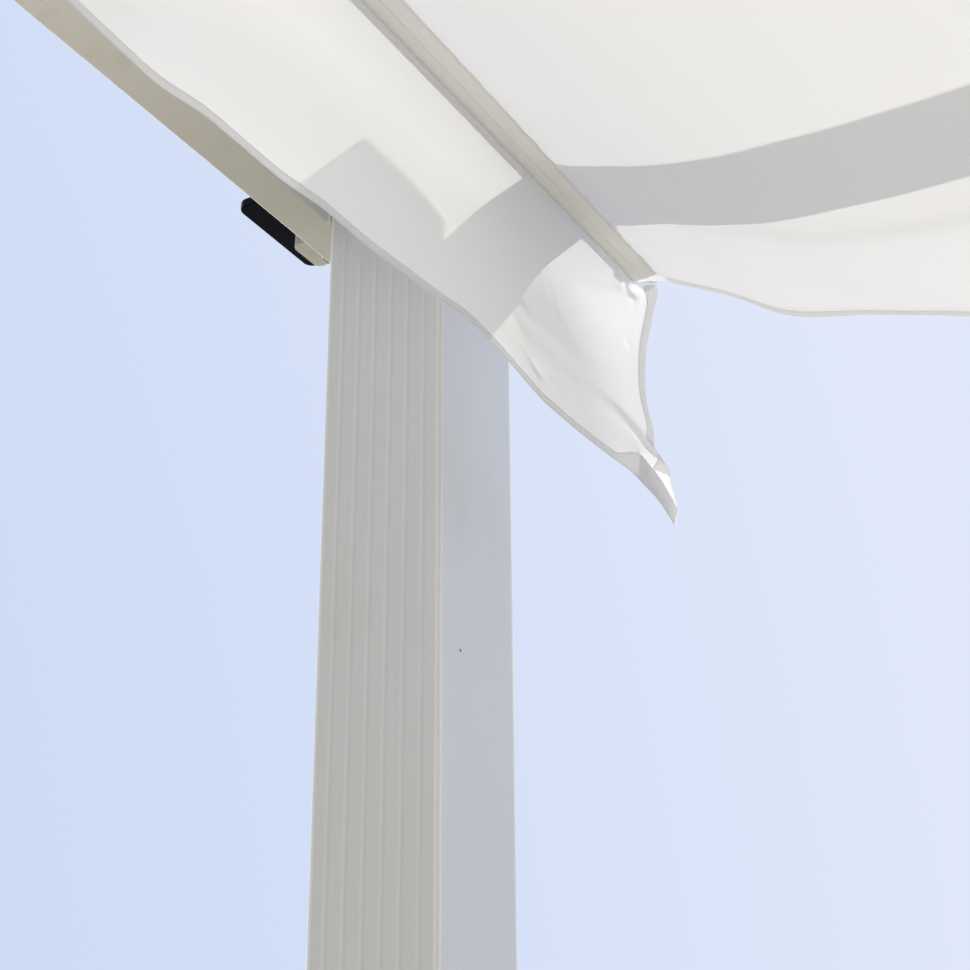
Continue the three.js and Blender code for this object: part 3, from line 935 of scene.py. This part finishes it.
def round_to_seam(index, towards, share, v):
    """Cloth from a rod's top to a bay's seam.

    It follows the round up to WRAP_SHARE and then runs straight. Where the seam lies at distance
    d and turn T from the round's middle, the round ends at turn T - acos(r / d).
    """
    share, v = np.broadcast_arrays(share, v)
    y = v * CLOTH_END
    middle, radius = wrap_circle(index, y)
    seam_x, seam_z = bay_seam(index, towards, y)
    out, up = towards * (seam_x - middle), seam_z - ROD_Z
    last = np.arctan2(out, up) - np.arccos(np.clip(radius / np.hypot(out, up), 0, 1))
    turn = last * np.minimum(share / WRAP_SHARE, 1)
    straight = np.maximum(share - WRAP_SHARE, 0) / (1 - WRAP_SHARE)
    x = between(middle + towards * radius * np.sin(turn), seam_x, straight)
    z = between(settled(ROD_Z + radius * np.cos(turn), y), seam_z, straight)
    return np.stack([x, y, z], -1)


def round_to_drop(side, share, v):
    """Cloth from an outermost rod's top round its outer side to the drop's seam."""
    share, v = np.broadcast_arrays(share, v)
    y = v * CLOTH_END
    middle, radius = wrap_circle(0 if side < 0 else RODS - 1, y)
    last = DROP_SEAM_TURN + DROP_SEAM_TWIST * smooth(np.abs(y), *DROP_TWIST_RUN)
    turn = np.radians(last) * share
    z = settled(ROD_Z + radius * np.cos(turn), y)
    return np.stack([middle + side * radius * np.sin(turn), y, z], -1)


def seam_pucker(from_seam, y, seed):
    """Height of the small puckers beside a seam: ripples along it that fade with distance."""
    wave = ripples(from_seam, y, seed, 5, 0.4, 0.022)
    return 0.5 * MM * wave * smooth(from_seam, 0, 3 * MM) * np.exp(-from_seam / (11 * MM))


def bay_point(bay, t, v):
    """Point on a hanging bay, with t from 0 to 1 between its two seams and v along the rods.

    x runs evenly from seam to seam; z = seam z - sag (1 - |1 - 2t|^p), with p from 2.1 at the
    free ends to 2.5 inside, plus long swells, folds that run along the rods, and puckers at the
    seams. The free edges are drawn in and hang in soft waves.
    """
    t, v = np.broadcast_arrays(t, v)
    y = v * CLOTH_END
    from_end = CLOTH_END - np.abs(y)
    start, seam_z = bay_seam(bay, 1, y)
    end = bay_seam(bay + 1, -1, y)[0]
    hang = 1 - np.abs(1 - 2 * t) ** between(2.1, 2.5, smooth(from_end, 0.03, 0.14))
    x = between(start, end, t)
    drawn_y = y - np.sign(v) * np.abs(v) ** 12 * BAY_PULL * hang
    inside = np.minimum(hang * 2.5, 1)
    swell = 2.6 * MM * ripples(x, y, 40 + bay, 5, 0.9, 1.1)
    folds = 0.8 * MM * ripples(x, y, 50 + bay, 6, 0.12, 1.6)
    fine = 0.25 * MM * ripples(x, y, 60 + bay, 7, 0.045, 0.35)
    wave = (np.sign(v) * x - FLUTTER_START) / FLUTTER_LENGTH
    flutter = FLUTTER_HEIGHT * np.sin(2 * np.pi * wave) * np.abs(v) ** 24
    sag = stepped(SAG, from_end / MM) * MM
    sag = sag * (1 + 0.012 * ripples(0 * x, y, 80 + bay, 3, 1.0, 1.7) * smooth(from_end, 0.2, 0.5))
    z = seam_z - sag * hang + inside * (swell + folds + fine + flutter)
    z = z + seam_pucker(np.minimum(t, 1 - t) * (end - start), y, 90 + bay)
    return np.stack([x, drawn_y, z], -1)


def hem_wave(side, y):
    """Lean towards the middle and height of a drop's lower hem along Y.

    Soft ripples all along, and the photographed hem's own curve over the last 0.6 m of its corner.
    """
    lean = (PLAIN_LEAN + 2.6 * ripples(0 * y, y, 110 + side, 5, 1.0, 0.42)) * MM
    height = (PLAIN_HEIGHT + 3.0 * ripples(0 * y, y, 120 + side, 5, 1.0, 0.34)) * MM
    height = height - 12 * MM * smooth(np.abs(y), 1.45, CLOTH_END)
    if side < 0:
        own = smooth(y, 0.86, 0.93)
        lean = between(lean, stepped(HEM_LEAN, y / MM) * MM, own)
        height = between(height, stepped(HEM_HEIGHT, y / MM) * MM, own)
    return lean, height


def crease(y, depth, start_y, start_depth, end_y, end_depth, height, width):
    """A crease between two places: height * exp(-(d / width)^2), fading towards its two ends.

    d is the distance from the line through both places. All are given in millimetres.
    """
    y, depth = y / MM - start_y, depth / MM - start_depth
    run_y, run_depth = end_y - start_y, end_depth - start_depth
    length = np.hypot(run_y, run_depth)
    along = (y * run_y + depth * run_depth) / length**2
    across = (depth * run_y - y * run_depth) / length
    fade = smooth(along, -0.2, 0.25) * (1 - smooth(along, 0.75, 1.2))
    return height * MM * np.exp(-((across / width) ** 2)) * fade


def corner_creases(side, y, depth):
    """All the creases near a drop's four corners: the photographed one's own, the rest drawn."""
    draw = np.random.default_rng(300 + side)
    total = 0 * y * depth
    for end in (-1, 1):
        knots = CORNER_CREASES
        if (side, end) != (-1, 1):
            spread = draw.uniform((1270, 12, -24, 16, -1.3, 2.4), (1480, 120, 24, 44, 1.3, 6), (7, 6))
            knots = [(a, b, a + c, b + d, e, f) for a, b, c, d, e, f in spread]
        for knot in knots:
            total = total + crease(end * y, depth, *knot)
    return total


def drop_point(side, s, v, mouth=True):
    """Point on the cloth that hangs at one side, with s from 0 at its seam to 1 at its hem.

    Its distance outside the rod follows three profiles, one after the other along the rod, plus
    the hem's own lean times s^2, soft folds along the rod and the corner's creases. Its height
    runs evenly from the seam to the hem's wavy line, and its free ends are drawn in.
    `mouth` adds the swelling where the corner's sleeve stands open.
    """
    s, v = np.broadcast_arrays(s, v)
    y = v * CLOTH_END
    rod_x = ROD_X[0 if side < 0 else RODS - 1]
    seam_x, seam_z = drop_seam(side, y)
    lean, hem_z = hem_wave(side, y)
    depth = s * DROP_DEPTH
    middle, inside, at_end = (stepped(profile, s) for profile in (MIDDLE_OUT, DROP_OUT, END_OUT))
    inside = between(middle, inside, smooth(np.abs(y), *MIDDLE_RUN))
    near_seam = 1 - smooth(s, 0.0, 0.25)
    start, stop = (between(*runs, near_seam) for runs in zip(DROP_END_RUN, DROP_TWIST_RUN))
    end_share = smooth(np.abs(y), start, stop)
    out = between(inside, at_end, end_share) * MM
    first_out = between(DROP_OUT[0], END_OUT[0], end_share) * MM
    out = out + (side * (seam_x - rod_x) - first_out) * (1 - smooth(s, 0, 0.12))
    out = out + (MEAN_LEAN - lean) * s * s
    swell = 1.3 * MM * ripples(depth, y, 130 + side, 5, 0.5, 0.9)
    folds = 0.16 * MM * ripples(depth, y, 140 + side, 6, 0.09, 2.5)
    fine = 0.06 * MM * ripples(depth, y, 150 + side, 7, 0.035, 0.5)
    free = smooth(s, 0.0, 0.25) * (1 - 0.7 * smooth(s, 0.7, 1.0))
    out = out + free * (swell + folds + fine) + seam_pucker(depth, y, 160 + side)
    out = out + corner_creases(side, y, depth)
    if mouth:
        open_along = smooth(np.abs(y), *MOUTH_RISE) * (1 - smooth(np.abs(y), *MOUTH_FALL))
        below = s - MOUTH_SHARE + MOUTH_SLOPE * (np.abs(y) - SLEEVE_RUN[1])
        open_down = smooth(below, -0.035, 0.015) * (1 - smooth(s, 0.9, 1.0))
        out = out + MOUTH_OUT * open_along * open_down
    pull = stepped(END_PULL, s) * MM
    drawn_y = y - np.sign(v) * np.abs(v) ** 10 * pull
    return np.stack([rod_x + side * out, drawn_y, between(seam_z, hem_z, s)], -1)


def strip_point(index, u, v):
    """The strip that closes a rod's pocket from below, with u from 0 to 1 between its seams.

    It hangs a little in the middle, by belly * 4u (1 - u), and its sewn edges are puckered.
    """
    u, v = np.broadcast_arrays(u, v)
    y = v * CLOTH_END
    left = drop_seam(-1, y) if index == 0 else bay_seam(index, -1, y)
    right = drop_seam(1, y) if index == RODS - 1 else bay_seam(index, 1, y)
    x = between(left[0], right[0], u)
    z = between(left[1], right[1], u) - STRIP_BELLY * 4 * u * (1 - u)
    near = np.minimum(u, 1 - u)
    tuck = 0.3 * MM * ripples(0 * y, y, 220 + index, 6, 1.0, 0.03) * np.exp(-near / 0.12)
    return np.stack([x, y, z + tuck * smooth(near, 0, 0.05)], -1)


def raised(surface, first, second, height, towards):
    """Points of surface(first, second) moved by a height along its normal, to the given side."""
    step = 1e-4
    here = surface(first, second)
    normal = np.cross(surface(first + step, second) - here, surface(first, second + step) - here)
    normal /= np.linalg.norm(normal, axis=-1, keepdims=True)
    facing = np.sign(normal @ np.array(towards, float))[..., None]
    return here + normal * facing * np.asarray(height)[..., None]


def hem_rows(width):
    """A hem's rows: their distances back from the edge and heights, for each width in a row."""
    width = np.atleast_1d(width)[None]
    round_end = np.array(HEM_ROUND)[:, :, None] * MM
    flat = np.array(HEM_FLAT)[:, :, None]
    back = np.concatenate([round_end[:, 0] + 0 * width, flat[:, 0] * width])
    height = np.concatenate([round_end[:, 1] + 0 * width, flat[:, 1] * MM + 0 * width])
    return back, height


def sleeve_width(y):
    """Width of a drop's lower hem: 7 mm, but up to 24 mm where the corner's sleeve opens."""
    start, widest = SLEEVE_RUN
    wide = SLEEVE_WIDER * smooth(np.abs(y), start, widest)
    slant = SLEEVE_SLANT * np.clip((np.abs(y) - widest) / (CLOTH_END - widest), 0, 1)
    return BOTTOM_HEM + wide - slant


def cloth_stations():
    """Places along the rods, as shares of the cloth's half length: closer together at the ends."""
    slot = (HANGER_Y[0] - SLOT_ROOM, HANGER_Y[1] + SLOT_ROOM)
    runs = [(0, 1.40, 200), (1.40, slot[0], 30), (*slot, 5), (slot[1], CLOTH_END, 14)]
    half = [np.linspace(start, end, count, endpoint=False) for start, end, count in runs]
    half = np.concatenate([*half, [CLOTH_END]])
    return np.concatenate([-half[:0:-1], half]) / CLOTH_END


STATIONS = cloth_stations()[None]

# Rods and hangers

ROD_EDGE = 0.4 * MM
HANGER_DEPTH = HANGER_Y[1] - HANGER_Y[0]
HANGER_TOP = float(node_box("rod_hanger_back_1")[1][2])
SADDLE_WALL = 3 * MM
SADDLE_REACH = 92  # degrees each way from the rod's top
FLANGE_WIDTH, FLANGE_HEIGHT = 30 * MM, 3 * MM
SCREW_OUT = 10.5 * MM  # from the stem's middle
HANGER_CORNER = 0.9 * MM
HANGER_ASIDE = 10 * MM  # stem and flange stand this far outwards of the rod


def add_stem(shape, x, y, low, high):
    """A hanger's stem: half width 2.5 mm + 3 mm e^(-d / 1.6 mm), with d from its upper end."""
    level = np.linspace(low, high, 33)
    half = 2.5 * MM + 3 * MM * np.exp(-(high - level) / (1.6 * MM))
    rows = [rounded_box(2 * wide, HANGER_DEPTH - 0.4 * MM, HANGER_CORNER) for wide in half]
    points = [np.insert(row + (x, y), 2, z, axis=1) for row, z in zip(rows, level)]
    shape.tube(np.stack(points))


def add_saddle(shape, x, y):
    """Half a ring over a rod: a rounded rectangle turned about the rod's middle."""
    section = rounded_box(SADDLE_WALL, HANGER_DEPTH, HANGER_CORNER)
    turn = np.radians(np.linspace(-SADDLE_REACH, SADDLE_REACH, 41))[:, None]
    radius = ROD_RADIUS + 0.3 * MM + SADDLE_WALL / 2 + section[:, 0]
    parts = [x + radius * np.sin(turn), y + section[:, 1] + 0 * turn, ROD_Z + radius * np.cos(turn)]
    shape.tube(np.stack(parts, -1))


rods, rod_plugs, hangers, screws = Shape(), Shape(), Shape(), Shape()
screw = in_mm([(-0.5, 1.6), (0, 3.5), (0.7, 3.5), (1.7, 2.9), (2.2, 2), (2.2, 1.5), (1.1, 1.3)])
plug = in_mm([(-1, 8.4), (0.2, 8.7), (1.1, 8.3), (1.5, 7.2)])
for x in ROD_X:
    near = [(-ROD_END, ROD_RADIUS - ROD_EDGE), (ROD_EDGE - ROD_END, ROD_RADIUS)]
    far = [(-ahead, radius) for ahead, radius in near[::-1]]
    add_turned(rods, near + far, (0, 1, 0), (x, 0, ROD_Z), sides=48)
    for end in (-1, 1):
        add_turned(rod_plugs, plug, (0, end, 0), (x, end * ROD_END, ROD_Z))
        y = end * (HANGER_Y[0] + HANGER_Y[1]) / 2
        add_saddle(hangers, x, y)
        stem = x + np.sign(x) * HANGER_ASIDE
        add_stem(hangers, stem, y, ROD_Z + 4.5 * MM, HANGER_TOP - FLANGE_HEIGHT + 0.5 * MM)
        low = (stem - FLANGE_WIDTH / 2, y - HANGER_DEPTH / 2, HANGER_TOP - FLANGE_HEIGHT)
        high = (stem + FLANGE_WIDTH / 2, y + HANGER_DEPTH / 2, HANGER_TOP)
        add_block(hangers, low, high, 0.7 * MM, corner=2 * MM)
        for aside in (-SCREW_OUT, SCREW_OUT):
            add_turned(screws, screw, (0, 0, -1), (stem + aside, y, low[2]), sides=16)
rod_names = [f"canopy_rod_{i + 1}" for i in range(RODS)]
rods.finish_closed("rods", rod_metal, replaces=rod_names, slot="rod_metal")
rod_plugs.finish_closed("rod_plugs", plastic)
hanger_names = [f"rod_hanger_{end}_{i + 1}" for end in ENDS for i in range(RODS)]
hangers.finish_closed("hangers", plastic, replaces=hanger_names, slot="white_plastic")
screws.finish_closed("hanger_screws", zinc)

# Canopy: its pieces


def outside_slots(points):
    """Which quads of a cloth grid stay: those clear of the hangers that come down to the rods."""
    middle = (points[:-1, :-1] + points[1:, 1:]) / 2
    y = np.abs(middle[..., 1])
    in_slot = (y > HANGER_Y[0] - SLOT_ROOM) & (y < HANGER_Y[1] + SLOT_ROOM)
    near = np.min([np.abs(middle[..., 0] - x) for x in ROD_X], axis=0) < 14 * MM
    above = middle[..., 2] > ROD_Z - 1 * MM
    return ~(in_slot & near & above)


def distance_across(points):
    """How far each row of a grid lies from its first row, along the cloth, in its middle column."""
    middle = points[:, points.shape[1] // 2]
    step = np.linalg.norm(np.diff(middle, axis=0), axis=-1)
    return np.concatenate([[0], np.cumsum(step)])[:, None]


def cloth_maps(points, across, lines, runs):
    """A sheet's flat map, and its map of the nearest line of stitches.

    `lines` holds the distance from each line and `runs` the place along it.
    """
    y = points[..., 1]
    across = across + 0 * y
    lines = np.stack([line + 0 * y for line in lines])
    runs = np.stack([run + 0 * y for run in runs])
    nearest = np.abs(lines).argmin(0)[None]
    off = np.take_along_axis(lines, nearest, 0)[0]
    on = np.take_along_axis(runs, nearest, 0)[0]
    return {"cloth": np.stack([across, y], -1), "stitches": np.stack([off, on], -1)}


def add_hem(shape, surface, along, width, towards, stitched_along):
    """A hem folded back over an edge of surface(back, along), on the side that faces `towards`."""
    back, height = hem_rows(width)
    shift = 0 * back + along
    points = raised(surface, back + 0 * shift, shift, height + 0 * shift, towards)
    off = back - (np.atleast_1d(width)[None] - HEM_STITCHES)
    maps = cloth_maps(points, back, [off], [stitched_along + 0 * shift])
    shape.grid(points, maps=maps, layer=1)


for bay in range(RODS - 1):
    share = np.concatenate([np.linspace(0, WRAP_SHARE, 9), [0.85]])[:, None]
    t = np.linspace(0, 1, 73)
    t = (0.25 * (0.5 - 0.5 * np.cos(np.pi * t)) + 0.75 * t)[:, None]
    rows = [
        round_to_seam(bay, 1, share, STATIONS),
        bay_point(bay, t, STATIONS),
        round_to_seam(bay + 1, -1, share[::-1], STATIONS),
    ]
    points = np.concatenate(rows)
    across = distance_across(points)
    first, last = across[len(share), 0], across[-1 - len(share), 0]
    lines = [across - first + SEAM_STITCHES, across - last - SEAM_STITCHES]
    maps = cloth_maps(points, across, lines, [points[..., 1]] * 2)
    shape = Shape()
    shape.grid(points, maps=maps, keep=outside_slots(points))
    t_hem = np.linspace(0.004, 0.996, 73)[None]
    for end in (-1, 1):
        add_hem(
            shape,
            lambda back, t: bay_point(bay, t, end * (1 - back / CLOTH_END)),
            t_hem,
            BAY_HEM,
            (0, 0, -1),
            across[len(share) : -len(share), 0][None],
        )
    piece = shape.finish(
        f"canopy_bay_{bay + 1}",
        bay_cloth,
        hem_cloth,
        sharp=0,
        slot="canopy_cloth",
        replaces=["canopy_cloth"] if bay == 0 else (),
    )

for word, side in SIDES.items():
    share = np.linspace(0, 1, 14)[:-1, None]
    s = np.concatenate([np.linspace(0, 0.7, 35)[:-1], np.linspace(0.7, 1, 27)])[:, None]
    points = np.concatenate([round_to_drop(side, share, STATIONS), drop_point(side, s, STATIONS)])
    across = distance_across(points)
    first, last = across[len(share), 0], across[-1, 0]
    y = points[..., 1]
    from_end = CLOTH_END - np.abs(STATIONS) * CLOTH_END
    lines = [
        across - first + SEAM_STITCHES,
        last - across - sleeve_width(STATIONS * CLOTH_END) + HEM_STITCHES,
        from_end - SIDE_HEM + HEM_STITCHES,
    ]
    maps = cloth_maps(points, across, lines, [y, y, across])
    shape = Shape()
    shape.grid(points, maps=maps, keep=outside_slots(points))
    add_hem(
        shape,
        lambda back, v: drop_point(side, 1 - back / DROP_DEPTH, v, mouth=False),
        STATIONS,
        sleeve_width(STATIONS[0] * CLOTH_END),
        (-side, 0, 0),
        STATIONS * CLOTH_END,
    )
    s_hem = np.linspace(0.02, SIDE_HEM_END, 60)[None]
    for end in (-1, 1):
        add_hem(
            shape,
            lambda back, s: drop_point(side, s, end * (1 - back / CLOTH_END)),
            s_hem,
            SIDE_HEM,
            (-side, 0, 0),
            s_hem * DROP_DEPTH,
        )
    name = f"canopy_drop_{word}"
    piece = shape.finish(name, drop_cloth, hem_cloth, sharp=0, slot="canopy_cloth")

STRIP_END = ROD_END - 1 * MM
for index in range(RODS):
    u = np.linspace(0, 1, 15)[:, None]
    v = np.linspace(-STRIP_END, STRIP_END, 361)[None] / CLOTH_END
    points = strip_point(index, u, v)
    across = distance_across(points)
    width = float(across[-1, 0])
    lines = [across - STRIP_STITCHES, across - width + STRIP_STITCHES]
    shape = Shape()
    shape.grid(points, maps=cloth_maps(points, across, lines, [points[..., 1]] * 2))
    piece = shape.finish(f"canopy_pocket_{index + 1}", pocket_cloth, sharp=0, slot="canopy_cloth")

# Camera, light and stage

turn = Matrix.Rotation(CAMERA_TURN, 4, "Z")
tilt = Matrix.Rotation(CAMERA_TILT, 4, "X")
roll = Matrix.Rotation(CAMERA_ROLL, 4, "Z")
camera = added("camera", bpy.data.cameras.new("camera"))
camera.data.lens = CAMERA_LENS
camera.data.sensor_width = 36
camera.matrix_world = Matrix.Translation(CAMERA_PLACE) @ turn @ tilt @ roll
bpy.context.scene.camera = camera

sun = added("sun", bpy.data.lights.new("sun", "SUN"))
sun.data.energy = SUN_STRENGTH
sun.data.color = SUN_COLOUR
sun.data.angle = SUN_WIDTH
sun.rotation_mode = "QUATERNION"
sun.rotation_quaternion = Vector(SUN_HEADING).to_track_quat("-Z", "Y")

bpy.context.scene.world = studio_world("studio")
bpy.context.scene.view_settings.view_transform = "Standard"

FLOOR_REACH = 60.0
floor_corners = [(x * FLOOR_REACH, y * FLOOR_REACH, 0) for x, y in ((-1, -1), (1, -1), (1, 1), (-1, 1))]
floor_mesh = bpy.data.meshes.new("floor")
floor_mesh.from_pydata(floor_corners, [], [(0, 1, 2, 3)])
floor_piece = added("floor", floor_mesh)
floor_piece.data.materials.append(plain_floor("pale_floor"))
floor_piece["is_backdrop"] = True

low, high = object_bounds()
